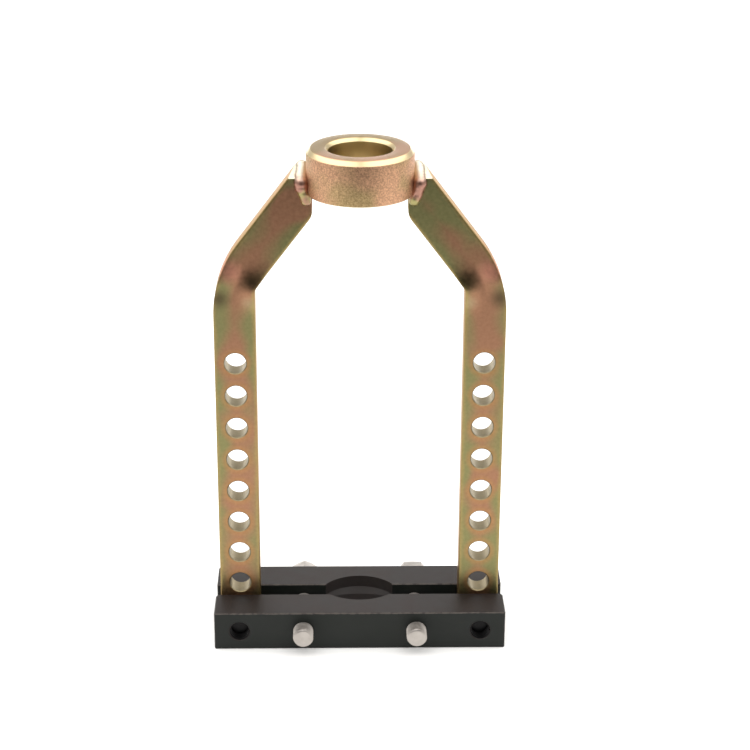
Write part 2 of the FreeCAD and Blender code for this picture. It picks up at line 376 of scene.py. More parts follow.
def hole_cutter(material):
    """A row of drills with countersunk ends, as one piece."""
    drills = []
    for i in range(hole_count):
        deselect()
        bpy.ops.mesh.primitive_cylinder_add(
            vertices=96, radius=hole_radius, depth=bar_thickness - 2 * countersink_depth,
            rotation=(math.pi / 2, 0, 0), location=(arm_middle_x, 0, first_hole_z + i * hole_pitch),
        )
        drill = bpy.context.object
        place(drill)
        edit(drill)
        pick(drill, "faces", lambda c, f: len(f.verts) == 96)
        bpy.ops.mesh.extrude_faces_move(TRANSFORM_OT_shrink_fatten={"value": countersink_cutter})
        leave_edit()
        middle = Vector((arm_middle_x, 0, first_hole_z + i * hole_pitch))
        for v in drill.data.vertices:
            if abs(v.co.y) > bar_thickness / 2:
                spread = (hole_radius + countersink_cutter) / hole_radius
                v.co.x = middle.x + (v.co.x - middle.x) * spread
                v.co.z = middle.z + (v.co.z - middle.z) * spread
        drills.append(drill)
    deselect()
    for drill in drills:
        drill.select_set(True)
    bpy.context.view_layer.objects.active = drills[0]
    bpy.ops.object.join()
    cutter = bpy.context.object
    face_outwards(cutter)
    give(cutter, material)
    return cutter


def cut(piece, cutter):
    apply_modifier(
        piece, "BOOLEAN", object=cutter, operation="DIFFERENCE", solver="EXACT", material_mode="TRANSFER"
    )
    bpy.data.objects.remove(cutter)


def bent_bar(name, face_material, hole_material, burnt_highlight_material):
    rungs = bar_rungs()
    rows = len(rungs) - 1
    middles = [(a + b) / 2 for a, b in rungs]
    run = [0.0]
    for low, high in zip(middles, middles[1:]):
        run.append(run[-1] + (high - low).length)
    deselect()
    bpy.ops.mesh.primitive_grid_add(x_subdivisions=cells_across, y_subdivisions=rows, size=1.0)
    bar = bpy.context.object
    bar.name = name
    give(bar, face_material)
    spots = {}
    for v in bar.data.vertices:
        across = v.co.x + 0.5
        row = round((v.co.y + 0.5) * rows)
        spots[v.index] = (across * bar_width, run[row])
        v.co = rungs[row][0].lerp(rungs[row][1], across)
    along_bar = bar.data.uv_layers.active.data
    for loop in bar.data.loops:
        along_bar[loop.index].uv = spots[loop.vertex_index]
    apply_modifier(bar, "SOLIDIFY", thickness=bar_thickness, offset=0.0)
    face_outwards(bar)
    tip = rungs[-1][0]
    edit(bar)
    pick(bar, "edges", lambda c, e: (c - tip).length < 0.1 * MM)
    bpy.ops.mesh.bevel(offset=end_corner_bevel, segments=6, affect="EDGES")
    leave_edit()
    for v in bar.data.vertices:
        v.co.y += math.copysign(swelling(v.co), v.co.y)
    apply_modifier(
        bar, "BEVEL", width=edge_round, segments=3, limit_method="ANGLE",
        angle_limit=math.radians(50), use_clamp_overlap=False,
    )
    cut(bar, hole_cutter(hole_material))
    deselect()
    bpy.ops.mesh.primitive_cylinder_add(
        vertices=192, radius=collar_radius, depth=2 * collar_height,
        location=(0, 0, collar_low.z + collar_height),
    )
    cope = bpy.context.object
    place(cope)
    give(cope, face_material)
    cut(bar, cope)
    deselect()
    bpy.ops.mesh.primitive_cube_add(size=1, rotation=(burn_tilt, 0, 0))
    burn = bpy.context.object
    burn.scale = (bar_width, 2 * bar_width, bar_width)
    up = Vector((0, -math.sin(burn_tilt), math.cos(burn_tilt)))
    burn.location = Vector((arm_inner_x - bar_width, 0, burn_middle_z)) + up * bar_width / 2
    place(burn)
    give(burn, burnt_highlight_material)
    cut(bar, burn)
    smooth(bar, 30)
    return bar


# Flat bar, zinc plated, yellow chromate: the film's thickness shows as olive and salmon clouds, with gold
# edges and an orange halo round each hole, where the plating current was stronger. At a low angle it is pink.
arm_zinc, shader = new_material("yellow_chromate_on_flat_bar")
place_on = add(arm_zinc, "TexCoord")
bar_place = add(arm_zinc, "SeparateXYZ", {0: place_on.outputs["UV"]})
cloud = add(
    arm_zinc, "TexNoise",
    {"Vector": place_on.outputs["Object"], "Scale": 1 / (30 * MM), "Detail": 1.5, "Distortion": 0.4},
)
off_middle = add(arm_zinc, "Math", {0: bar_place.outputs[0], 1: bar_width / 2}, operation="SUBTRACT")
from_middle = add(arm_zinc, "Math", {0: off_middle.outputs[0]}, operation="ABSOLUTE")
middle_pull = add(
    arm_zinc, "MapRange", {0: from_middle.outputs[0], 1: 0.0, 2: bar_width / 2, 3: 0.10, 4: -0.12}
)
cloud_sum = add(arm_zinc, "Math", {0: cloud.outputs[0], 1: middle_pull.outputs[0]}, operation="ADD")
cloud_step = add(
    arm_zinc, "MapRange", {0: cloud_sum.outputs[0], 1: 0.36, 2: 0.64}, interpolation_type="SMOOTHSTEP"
)
film = add(
    arm_zinc, "Mix", {0: cloud_step.outputs[0], 6: linear("#817d55"), 7: linear("#997158")}, data_type="RGBA"
)
edge_wander = add(
    arm_zinc, "TexNoise", {"Vector": place_on.outputs["Object"], "Scale": 1 / (9 * MM), "Detail": 2.0}
)
edge_place = add(arm_zinc, "Math", {0: edge_wander.outputs[0], 1: 2.2 * MM}, operation="MULTIPLY")
edge_sum = add(arm_zinc, "Math", {0: from_middle.outputs[0], 1: edge_place.outputs[0]}, operation="ADD")
edge_gold = add(
    arm_zinc, "MapRange", {0: edge_sum.outputs[0], 1: 8.8 * MM, 2: 11.0 * MM, 3: 0.0, 4: 0.65},
    interpolation_type="SMOOTHSTEP",
)
gilded = add(
    arm_zinc, "Mix", {0: edge_gold.outputs[0], 6: film.outputs["Result"], 7: linear("#a08a5a")},
    data_type="RGBA",
)
hole_step = add(
    arm_zinc, "Math",
    {0: bar_place.outputs[1], 1: first_hole_z - arm_low.z + hole_pitch / 2,
     2: first_hole_z - arm_low.z - hole_pitch / 2},
    operation="WRAP",
)
hole_off = add(
    arm_zinc, "Math", {0: hole_step.outputs[0], 1: first_hole_z - arm_low.z}, operation="SUBTRACT"
)
hole_place = add(arm_zinc, "CombineXYZ", {0: off_middle.outputs[0], 1: hole_off.outputs[0]})
hole_reach = add(arm_zinc, "VectorMath", {0: hole_place.outputs[0]}, operation="LENGTH")
halo = add(
    arm_zinc, "MapRange",
    {0: hole_reach.outputs["Value"], 1: 5.8 * MM, 2: 9.2 * MM, 3: 0.6, 4: 0.0},
    interpolation_type="SMOOTHSTEP",
)
last_hole_run = first_hole_z + (hole_count - 1) * hole_pitch - arm_low.z
in_drilled = add(
    arm_zinc, "MapRange",
    {0: bar_place.outputs[1], 1: last_hole_run + 6 * MM, 2: last_hole_run + 10 * MM, 3: 1.0, 4: 0.0},
)
halo_here = add(arm_zinc, "Math", {0: halo.outputs[0], 1: in_drilled.outputs[0]}, operation="MULTIPLY")
haloed = add(
    arm_zinc, "Mix", {0: halo_here.outputs[0], 6: gilded.outputs["Result"], 7: linear("#a47b52")},
    data_type="RGBA",
)
# Painted shade and painted highlights at the bend: dark over the upset corner and on the thinned outer bow,
# pale below the corner, and salmon above the bow, where the bent faces would lose or catch light.
bar_xyz = add(arm_zinc, "SeparateXYZ", {0: place_on.outputs["Object"]})
bar_x = add(arm_zinc, "Math", {0: bar_xyz.outputs[0]}, operation="ABSOLUTE")
bend_place = add(arm_zinc, "CombineXYZ", {0: bar_x.outputs[0], 2: bar_xyz.outputs[2]})
with_bend_painted_light = haloed
for spot, reach, strength, colour in (
    ((51.5 * MM, 0, 188.0 * MM), 8.5 * MM, 0.75, "#3b3624"),
    ((67.0 * MM, 0, 179.5 * MM), 9.5 * MM, 0.8, "#453a2c"),
    ((53.0 * MM, 0, 177.0 * MM), 6.5 * MM, 0.3, "#a39b7a"),
    ((62.0 * MM, 0, 193.0 * MM), 10.0 * MM, 0.75, "#d08f7a"),
):
    off_spot = add(arm_zinc, "VectorMath", {0: bend_place.outputs[0], 1: spot}, operation="DISTANCE")
    ragged = add(arm_zinc, "Math", {0: edge_place.outputs[0], 1: off_spot.outputs["Value"]}, operation="ADD")
    bend_light_mask = add(
        arm_zinc, "MapRange",
        {0: ragged.outputs[0], 1: 1.5 * MM, 2: reach, 3: strength, 4: 0.0}, interpolation_type="SMOOTHSTEP",
    )
    with_bend_painted_light = add(
        arm_zinc, "Mix", {0: bend_light_mask.outputs[0], 6: with_bend_painted_light.outputs["Result"], 7: linear(colour)},
        data_type="RGBA",
    )
mottle = add(
    arm_zinc, "TexNoise", {"Vector": place_on.outputs["Object"], "Scale": 1 / (1.6 * MM), "Detail": 4.0}
)
mottle_shade = add(arm_zinc, "MapRange", {0: mottle.outputs[0], 1: 0.3, 2: 0.7, 3: 0.90, 4: 1.08})
shaded = add(
    arm_zinc, "VectorMath", {0: with_bend_painted_light.outputs["Result"], "Scale": mottle_shade.outputs[0]},
    operation="SCALE",
)
polish = add(arm_zinc, "MapRange", {0: mottle.outputs[0], 1: 0.3, 2: 0.7, 3: 0.30, 4: 0.38})
relief = add(arm_zinc, "Bump", {"Height": mottle.outputs[0], "Strength": 0.08, "Distance": 0.03 * MM})
arm_zinc.node_tree.links.new(shaded.outputs[0], shader.inputs["Base Color"])
arm_zinc.node_tree.links.new(polish.outputs[0], shader.inputs["Roughness"])
arm_zinc.node_tree.links.new(relief.outputs[0], shader.inputs["Normal"])
shader.inputs["Metallic"].default_value = 1.0
shader.inputs["Specular Tint"].default_value = linear("#ead2c8")

# Drilled wall under the same plating: paler and greener, with the drill's feed marks.
hole_zinc, shader = new_material("yellow_chromate_in_drilled_hole")
place_on = add(hole_zinc, "TexCoord")
streak_place = add(hole_zinc, "Mapping", {0: place_on.outputs["Object"], "Scale": (400, 2600, 400)})
streaks = add(hole_zinc, "TexNoise", {"Vector": streak_place.outputs[0], "Scale": 1.0, "Detail": 2.0})
film = add(
    hole_zinc, "Mix", {0: streaks.outputs[0], 6: linear("#766b4e"), 7: linear("#998a6c")}, data_type="RGBA"
)
relief = add(hole_zinc, "Bump", {"Height": streaks.outputs[0], "Strength": 0.3, "Distance": 0.04 * MM})
hole_zinc.node_tree.links.new(film.outputs["Result"], shader.inputs["Base Color"])
hole_zinc.node_tree.links.new(relief.outputs[0], shader.inputs["Normal"])
shader.inputs["Metallic"].default_value = 1.0
shader.inputs["Roughness"].default_value = 0.4

# Burnt end beside the weld: scaled steel under thin plating, a little rough, painted pale near-white as a
# painted highlight for the light its facet catches.
burnt_end_highlight_zinc, shader = new_material("pale_painted_highlight_on_burnt_end")
place_on = add(burnt_end_highlight_zinc, "TexCoord")
scale_marks = add(
    burnt_end_highlight_zinc, "TexNoise", {"Vector": place_on.outputs["Object"], "Scale": 1 / (1.2 * MM), "Detail": 3.0}
)
film = add(
    burnt_end_highlight_zinc, "Mix", {0: scale_marks.outputs[0], 6: linear("#c9c0a4"), 7: linear("#e2dccb")},
    data_type="RGBA",
)
relief = add(burnt_end_highlight_zinc, "Bump", {"Height": scale_marks.outputs[0], "Strength": 0.3, "Distance": 0.08 * MM})
burnt_end_highlight_zinc.node_tree.links.new(film.outputs["Result"], shader.inputs["Base Color"])
burnt_end_highlight_zinc.node_tree.links.new(relief.outputs[0], shader.inputs["Normal"])
shader.inputs["Metallic"].default_value = 1.0
shader.inputs["Roughness"].default_value = 0.42


def other_side(piece, name):
    """A copy on the other side of the YZ plane, with its own mesh and its faces still outwards."""
    twin = piece.copy()
    twin.data = piece.data.copy()
    twin.name = name
    bpy.context.scene.collection.objects.link(twin)
    twin.data.transform(Matrix.Scale(-1, 4, Vector((1, 0, 0))))
    twin.data.flip_normals()
    return twin


arm_right = bent_bar("arm_right_bar", arm_zinc, hole_zinc, burnt_end_highlight_zinc)
arm_left = other_side(arm_right, "arm_left_bar")
stand_for(arm_right, "arm_right", "frame")
stand_for(arm_left, "arm_left", "frame")

# Welds: a bead of filler metal laid by hand round each arm's end, up the front corner, over the top edge and
# down the rear corner. It starts narrow at the collar's foot and widens upwards. Plated with the rest.
half_bar = bar_thickness / 2
foot_radius = 2.6 * MM
bead_radius = 3.8 * MM
weld_low, weld_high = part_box("weld_right")
drop_step = 1.0 * MM
bead_stops = (
    (Vector((25.3 * MM, -half_bar, 228.0 * MM)), foot_radius),
    (Vector((27.6 * MM, -half_bar, 236.4 * MM)), bead_radius),
    (Vector((27.0 * MM, half_bar, 241.0 * MM)), bead_radius),
    (Vector((25.3 * MM, half_bar, 228.0 * MM)), foot_radius),
)


def bead_path():
    """Places and radii of the drops along the bead."""
    for (start, start_radius), (end, end_radius) in zip(bead_stops, bead_stops[1:]):
        steps = round((end - start).length / drop_step)
        for i in range(steps):
            share = i / steps
            yield start.lerp(end, share), start_radius + (end_radius - start_radius) * share
    yield bead_stops[-1]


def weld_bead(name, seed, material):
    """Overlapping drops along the path, melted into one skin. Their size wanders as the hand did."""
    luck = random.Random(seed)
    drops = []
    size = 1.0
    for centre, radius in bead_path():
        size = min(max(size + luck.uniform(-0.05, 0.05), 0.92), 1.06)
        shift = Vector([luck.uniform(-0.2, 0.2) for _ in range(3)]) * MM
        deselect()
        bpy.ops.mesh.primitive_ico_sphere_add(subdivisions=3, radius=radius * size, location=centre + shift)
        drops.append(bpy.context.object)
    deselect()
    for drop in drops:
        drop.select_set(True)
    bpy.context.view_layer.objects.active = drops[0]
    bpy.ops.object.join()
    bead = bpy.context.object
    bead.name = name
    place(bead)
    apply_modifier(bead, "REMESH", mode="VOXEL", voxel_size=0.26 * MM)
    apply_modifier(bead, "SMOOTH", factor=0.5, iterations=20)
    give(bead, material)
    smooth(bead, 60)
    return bead


weld_zinc, shader = new_material("yellow_chromate_on_weld")
place_on = add(weld_zinc, "TexCoord")
xyz = add(weld_zinc, "SeparateXYZ", {0: place_on.outputs["Object"]})
rise = add(weld_zinc, "MapRange", {0: xyz.outputs[2], 1: weld_low.z, 2: weld_high.z, 3: -0.22, 4: 0.6})
cloud = add(
    weld_zinc, "TexNoise", {"Vector": place_on.outputs["Object"], "Scale": 1 / (6 * MM), "Detail": 2.0}
)
cloud_sum = add(weld_zinc, "Math", {0: cloud.outputs[0], 1: rise.outputs[0]}, operation="ADD")
cloud_step = add(weld_zinc, "MapRange", {0: cloud_sum.outputs[0], 1: 0.36, 2: 0.56})
film = add(
    weld_zinc, "Mix", {0: cloud_step.outputs[0], 6: linear("#9f9666"), 7: linear("#a57b6c")}, data_type="RGBA"
)
# Painted highlight: the top of the bead is painted near-white, standing in for the overhead light it catches.
top_highlight_mask = add(
    weld_zinc, "MapRange",
    {0: xyz.outputs[2], 1: weld_high.z - 7 * MM, 2: weld_high.z - 3 * MM, 3: 0.0, 4: 0.8},
)
weld_painted_highlight = add(
    weld_zinc, "Mix", {0: top_highlight_mask.outputs[0], 6: film.outputs["Result"], 7: linear("#d2cab6")},
    data_type="RGBA",
)
scale_marks = add(
    weld_zinc, "TexNoise", {"Vector": place_on.outputs["Object"], "Scale": 1 / (0.7 * MM), "Detail": 2.0}
)
relief = add(weld_zinc, "Bump", {"Height": scale_marks.outputs[0], "Strength": 0.4, "Distance": 0.08 * MM})
weld_zinc.node_tree.links.new(weld_painted_highlight.outputs["Result"], shader.inputs["Base Color"])
weld_zinc.node_tree.links.new(relief.outputs[0], shader.inputs["Normal"])
shader.inputs["Metallic"].default_value = 1.0
shader.inputs["Roughness"].default_value = 0.34
weld_right = weld_bead("weld_right_bead", 7, weld_zinc)
weld_left = other_side(weld_bead("weld_left_bead_mirror", 12, weld_zinc), "weld_left_bead")
bpy.data.objects.remove(bpy.data.objects["weld_left_bead_mirror"])
stand_for(weld_right, "weld_right", "frame")
stand_for(weld_left, "weld_left", "frame")

# Jaws: two pieces of 20 mm square bar, milled, with the mouth bored across their inner faces, and black
# oxided. The oxide is brown-black on the tops, with painted shade on the upright long faces, which are darker
# and greener, and it is rubbed through along the edges.
jaw_low, jaw_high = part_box("front_jaw")
rear_low, rear_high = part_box("rear_jaw")


def black_oxide(name, low, high):
    """Black oxide on milled steel for one bar, worn along the edges of its box."""
    material, shader = new_material(name)
    place_on = add(material, "TexCoord")
    xyz = add(material, "SeparateXYZ", {0: place_on.outputs["Object"]})
    inside = []
    for axis in (1, 2):
        middle = (low[axis] + high[axis]) / 2
        off = add(material, "Math", {0: xyz.outputs[axis], 1: middle}, operation="SUBTRACT")
        away = add(material, "Math", {0: off.outputs[0]}, operation="ABSOLUTE")
        depth = add(
            material, "Math", {0: (high[axis] - low[axis]) / 2, 1: away.outputs[0]}, operation="SUBTRACT"
        )
        inside.append(depth.outputs[0])
    deeper = add(material, "Math", {0: inside[0], 1: inside[1]}, operation="MAXIMUM")
    wander = add(
        material, "TexNoise", {"Vector": place_on.outputs["Object"], "Scale": 1 / (2.2 * MM), "Detail": 4.0}
    )
    edge_reach = add(
        material, "MapRange", {0: wander.outputs[0], 1: 0.35, 2: 0.65, 3: 0.3 * MM, 4: 0.62 * MM}
    )
    rubbed = add(material, "Math", {0: deeper.outputs[0], 1: edge_reach.outputs[0]}, operation="LESS_THAN")
    milling_place = add(material, "Mapping", {0: place_on.outputs["Object"], "Scale": (120, 1500, 1500)})
    milling = add(material, "TexNoise", {"Vector": milling_place.outputs[0], "Scale": 1.0, "Detail": 3.0})
    blotch = add(
        material, "TexNoise", {"Vector": place_on.outputs["Object"], "Scale": 1 / (14 * MM), "Detail": 3.0}
    )
    tone = add(
        material, "Mix", {0: blotch.outputs[0], 6: linear("#1c1a19"), 7: linear("#302724")}, data_type="RGBA"
    )
    # Painted shade: the upright long faces are painted darker and greener than the tops.
    upright_painted_shade = add(material, "Math", {0: inside[0], 1: 0.05 * MM}, operation="LESS_THAN")
    with_upright_shade = add(
        material, "Mix", {0: upright_painted_shade.outputs[0], 6: tone.outputs["Result"], 7: linear("#191c19")},
        data_type="RGBA",
    )
    worn = add(material, "Math", {0: rubbed.outputs[0], 1: 0.2}, operation="MULTIPLY")
    colour = add(
        material, "Mix", {0: worn.outputs[0], 6: with_upright_shade.outputs["Result"], 7: linear("#8a8078")},
        data_type="RGBA",
    )
    polish = add(material, "MapRange", {0: blotch.outputs[0], 1: 0.3, 2: 0.7, 3: 0.42, 4: 0.54})
    relief = add(material, "Bump", {"Height": milling.outputs[0], "Strength": 0.3, "Distance": 0.03 * MM})
    material.node_tree.links.new(colour.outputs["Result"], shader.inputs["Base Color"])
    material.node_tree.links.new(polish.outputs[0], shader.inputs["Roughness"])
    material.node_tree.links.new(relief.outputs[0], shader.inputs["Normal"])
    shader.inputs["Specular IOR Level"].default_value = 0.24
    return material


oxide_front = black_oxide("black_oxide_front_bar", jaw_low, jaw_high)
oxide_rear = black_oxide("black_oxide_rear_bar", rear_low, rear_high)
for jaw, oxide in ((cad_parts["front_jaw"], oxide_front), (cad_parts["rear_jaw"], oxide_rear)):
    for slot in jaw.material_slots:
        slot.material = oxide

# Screw threads: M10 coarse. A helix of the ISO profile is made along Z from the tip and laid along Y, head to
# the rear. The front jaw's tapped holes carry the matching ridge.
thread_radius = 5.0 * MM
thread_pitch = 1.5 * MM
thread_depth = 0.6134 * thread_pitch
thread_steps = 48
screw_z = (rear_low.z + rear_high.z) / 2


def helix(name, profile, turns, closed):
    """A profile of (radius, height) corners swept round Z in a right-hand helix."""
    deselect()
    bpy.ops.mesh.primitive_plane_add(size=MM)
    piece = bpy.context.object
    piece.name = name
    edit(piece)
    bpy.ops.mesh.select_all(action="SELECT")
    bpy.ops.mesh.merge(type="CENTER")
    bpy.ops.transform.translate(value=(profile[0][0], 0, profile[0][1]))
    for (low_radius, low_z), (radius, z) in zip(profile, profile[1:]):
        bpy.ops.mesh.extrude_vertices_move(
            TRANSFORM_OT_translate={"value": (radius - low_radius, 0, z - low_z)}
        )
    if closed:
        bpy.ops.mesh.select_all(action="SELECT")
        bpy.ops.mesh.edge_face_add()
        bpy.ops.mesh.delete(type="ONLY_FACE")
    leave_edit()
    apply_modifier(
        piece, "SCREW", axis="Z", screw_offset=thread_pitch, iterations=turns,
        steps=thread_steps, render_steps=thread_steps, use_merge_vertices=False,
    )
    edit(piece)
    bpy.ops.mesh.select_all(action="SELECT")
    bpy.ops.mesh.remove_doubles(threshold=0.001 * MM)
    leave_edit()
    return piece


def close_ends(piece):
    edit(piece)
    bpy.ops.mesh.select_mode(type="EDGE")
    bpy.ops.mesh.select_non_manifold()
    bpy.ops.mesh.fill_holes(sides=0)
    leave_edit()
    face_outwards(piece)


def threaded_rod(name, length, threaded, tip_radius):
    """A rod with its tip at z = 0: threaded for part of its length, plain above, and closed at both ends."""
    root = thread_radius - thread_depth
    profile = [
        (root, -thread_pitch),
        (root, -thread_pitch * 3 / 4),
        (thread_radius, -thread_pitch * 7 / 16),
        (thread_radius, -thread_pitch * 5 / 16),
        (root, 0),
    ]
    rod = helix(name, profile, math.ceil(length / thread_pitch) + 2, closed=False)
    for v in rod.data.vertices:
        reach = math.hypot(v.co.x, v.co.y)
        wanted = reach
        if v.co.z > threaded:
            run_out = min(1.0, (v.co.z - threaded) / thread_pitch)
            wanted = reach + (thread_radius - reach) * run_out
        v.co.z = min(max(v.co.z, 0.0), length)
        wanted = min(wanted, tip_radius + v.co.z)
        v.co.x *= wanted / reach
        v.co.y *= wanted / reach
    edit(rod)
    bpy.ops.mesh.select_all(action="SELECT")
    bpy.ops.mesh.remove_doubles(threshold=0.001 * MM)
    leave_edit()
    close_ends(rod)
    return rod


def lay_along_y(piece, x, tip_y):
    piece.rotation_euler = (-math.pi / 2, 0, 0)
    piece.location = (x, tip_y, screw_z)
    place(piece)


def join(pieces, name):
    deselect()
    for piece in pieces:
        piece.select_set(True)
    bpy.context.view_layer.objects.active = pieces[0]
    bpy.ops.object.join()
    joined = bpy.context.object
    joined.name = name
    return joined


# Clamp bolts: M10 x 60 hexagon screws, threaded to the head, cold headed and zinc plated clear. Their heads
# press on the lock washers behind the rear jaw, and their tips stand out in front of the front jaw.
bolt_low, bolt_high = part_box("clamp_bolt_right")
bolt_x = (bolt_low.x + bolt_high.x) / 2
bolt_length = 60.0 * MM
head_height = 6.4 * MM
head_flats = 16.0 * MM
bolt_tip_radius = 4.4 * MM
under_head_y = bolt_high.y - head_height


def hexagon_head(turn):
    """The head: a hexagon whose top corners are turned off to a cone of 30 degrees."""
    deselect()
    bpy.ops.mesh.primitive_cylinder_add(
        vertices=6, radius=head_flats / 2 / math.cos(math.pi / 6), depth=head_height,
        location=(0, 0, head_height / 2), rotation=(0, 0, turn),
    )
    head = bpy.context.object
    place(head)
    top_radius = head_flats / 2 - 0.35 * MM
    deselect()
    bpy.ops.mesh.primitive_cone_add(
        vertices=120, radius1=top_radius + head_height / math.tan(math.radians(30)), radius2=top_radius,
        depth=head_height, location=(0, 0, head_height / 2),
    )
    crown = bpy.context.object
    place(crown)
    apply_modifier(head, "BOOLEAN", object=crown, operation="INTERSECT", solver="EXACT")
    bpy.data.objects.remove(crown)
    face_outwards(head)
    soften(head, 0.18 * MM, segments=2, degrees=20)
    head.location = (0, 0, bolt_length)
    place(head)
    return head


# Clear zinc over steel: satin silver with a faint warm bloom.
clear_zinc, shader = new_material("clear_zinc_on_steel")
place_on = add(clear_zinc, "TexCoord")
bloom = add(
    clear_zinc, "TexNoise", {"Vector": place_on.outputs["Object"], "Scale": 1 / (4 * MM), "Detail": 4.0}
)
film = add(
    clear_zinc, "Mix", {0: bloom.outputs[0], 6: linear("#98918b"), 7: linear("#c6c0ba")}, data_type="RGBA"
)
fine = add(
    clear_zinc, "TexNoise", {"Vector": place_on.outputs["Object"], "Scale": 1 / (0.4 * MM), "Detail": 2.0}
)
polish = add(clear_zinc, "MapRange", {0: bloom.outputs[0], 1: 0.3, 2: 0.7, 3: 0.36, 4: 0.50})
relief = add(clear_zinc, "Bump", {"Height": fine.outputs[0], "Strength": 0.2, "Distance": 0.02 * MM})
clear_zinc.node_tree.links.new(film.outputs["Result"], shader.inputs["Base Color"])
clear_zinc.node_tree.links.new(polish.outputs[0], shader.inputs["Roughness"])
clear_zinc.node_tree.links.new(relief.outputs[0], shader.inputs["Normal"])
shader.inputs["Metallic"].default_value = 1.0

for side, sign, turn in (("left", -1, math.radians(0)), ("right", 1, math.radians(30))):
    rod = threaded_rod("bolt_rod", bolt_length, bolt_length, bolt_tip_radius)
    bolt = join([rod, hexagon_head(turn)], f"clamp_bolt_{side}_threaded")
    lay_along_y(bolt, sign * bolt_x, under_head_y - bolt_length)
    give(bolt, clear_zinc)
    smooth(bolt, 25)
    stand_for(bolt, f"clamp_bolt_{side}", f"clamp_bolt_{side}")

# Lock washers: rings coiled from square spring wire and cut at a slant, squeezed flat under the heads and
# zinc plated clear like the bolts.
washer_low, washer_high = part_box("lock_washer_right")
washer_radius = (washer_high.z - washer_low.z) / 2
washer_thickness = washer_high.y - washer_low.y
for side, sign in (("left", -1), ("right", 1)):
    washer = ring(
        f"lock_washer_{side}_coil", washer_radius, thread_radius + 0.1 * MM, 0, washer_thickness, steps=96
    )
    deselect()
    bpy.ops.mesh.primitive_cube_add(size=1, location=(0, washer_radius * 0.75, washer_thickness / 2))
    slit = bpy.context.object
    slit.scale = (0.7 * MM, washer_radius, 3 * washer_thickness)
    slit.rotation_euler = (0, math.radians(28), 0)
    place(slit)
    apply_modifier(washer, "BOOLEAN", object=slit, operation="DIFFERENCE", solver="EXACT")
    bpy.data.objects.remove(slit)
    face_outwards(washer)
    soften(washer, 0.2 * MM)
    lay_along_y(washer, sign * bolt_x, washer_low.y)
    give(washer, clear_zinc)
    stand_for(washer, f"lock_washer_{side}", "rear_jaw")

# End screws: M10 x 45 socket head cap screws, black oxided, with a knurled head. They go through the arms,
# thread into the front jaw and stop 5 mm short of its face.
cap_low, cap_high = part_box("end_screw_right")
cap_x = (cap_low.x + cap_high.x) / 2
cap_radius = (cap_high.z - cap_low.z) / 2
cap_height = 10.0 * MM
seat_gap = 0.02 * MM
cap_length = 45.0 * MM
cap_threaded = 32.0 * MM
cap_tip_radius = 4.0 * MM
knurl_teeth = 60
groove_share = 0.962


def knurled_cap():
    """The head: a drum with a straight knurl between two plain bands, and a hexagon socket in its end."""
    deselect()
    bpy.ops.mesh.primitive_cylinder_add(
        vertices=2 * knurl_teeth, radius=cap_radius, depth=cap_height, location=(0, 0, cap_height / 2)
    )
    cap = bpy.context.object
    place(cap)
    edit(cap)
    pick(cap, "edges", lambda c, e: c.z > cap_height - 0.01 * MM)
    bpy.ops.mesh.bevel(offset=0.8 * MM, segments=2, affect="EDGES")
    for height in (0.5 * MM, 0.8 * MM, cap_height - 1.9 * MM, cap_height - 1.5 * MM):
        bpy.ops.mesh.select_all(action="SELECT")
        bpy.ops.mesh.bisect(plane_co=(0, 0, height), plane_no=(0, 0, 1))
    leave_edit()
    for v in cap.data.vertices:
        if 0.7 * MM < v.co.z < cap_height - 1.7 * MM:
            tooth = round(math.atan2(v.co.y, v.co.x) / math.pi * knurl_teeth)
            if tooth % 2:
                v.co.x *= groove_share
                v.co.y *= groove_share
    deselect()
    bpy.ops.mesh.primitive_cylinder_add(
        vertices=6, radius=4.0 * MM / math.cos(math.pi / 6), depth=10 * MM, location=(0, 0, cap_height)
    )
    socket = bpy.context.object
    place(socket)
    apply_modifier(cap, "BOOLEAN", object=socket, operation="DIFFERENCE", solver="EXACT")
    bpy.data.objects.remove(socket)
    face_outwards(cap)
    cap.scale = (1, 1, (cap_height - seat_gap) / cap_height)
    cap.location = (0, 0, cap_length + seat_gap)
    place(cap)
    return cap


# Black oxide on hardened steel, wiped with oil: near black and a little glossier than the jaws.
oiled_oxide, shader = new_material("oiled_black_oxide_screw")
place_on = add(oiled_oxide, "TexCoord")
film_noise = add(
    oiled_oxide, "TexNoise", {"Vector": place_on.outputs["Object"], "Scale": 1 / (3 * MM), "Detail": 3.0}
)
film = add(
    oiled_oxide, "Mix", {0: film_noise.outputs[0], 6: linear("#121213"), 7: linear("#1f1e1e")},
    data_type="RGBA",
)
polish = add(oiled_oxide, "MapRange", {0: film_noise.outputs[0], 1: 0.3, 2: 0.7, 3: 0.28, 4: 0.40})
relief = add(oiled_oxide, "Bump", {"Height": film_noise.outputs[0], "Strength": 0.15, "Distance": 0.03 * MM})
oiled_oxide.node_tree.links.new(film.outputs["Result"], shader.inputs["Base Color"])
oiled_oxide.node_tree.links.new(polish.outputs[0], shader.inputs["Roughness"])
oiled_oxide.node_tree.links.new(relief.outputs[0], shader.inputs["Normal"])
shader.inputs["Metallic"].default_value = 0.85

for side, sign in (("left", -1), ("right", 1)):
    rod = threaded_rod("cap_rod", cap_length, cap_threaded, cap_tip_radius)
    screw = join([rod, knurled_cap()], f"end_screw_{side}_threaded")
    lay_along_y(screw, sign * cap_x, rear_high.y - cap_length)
    give(screw, oiled_oxide)
    smooth(screw, 25)
    stand_for(screw, f"end_screw_{side}", f"end_screw_{side}")

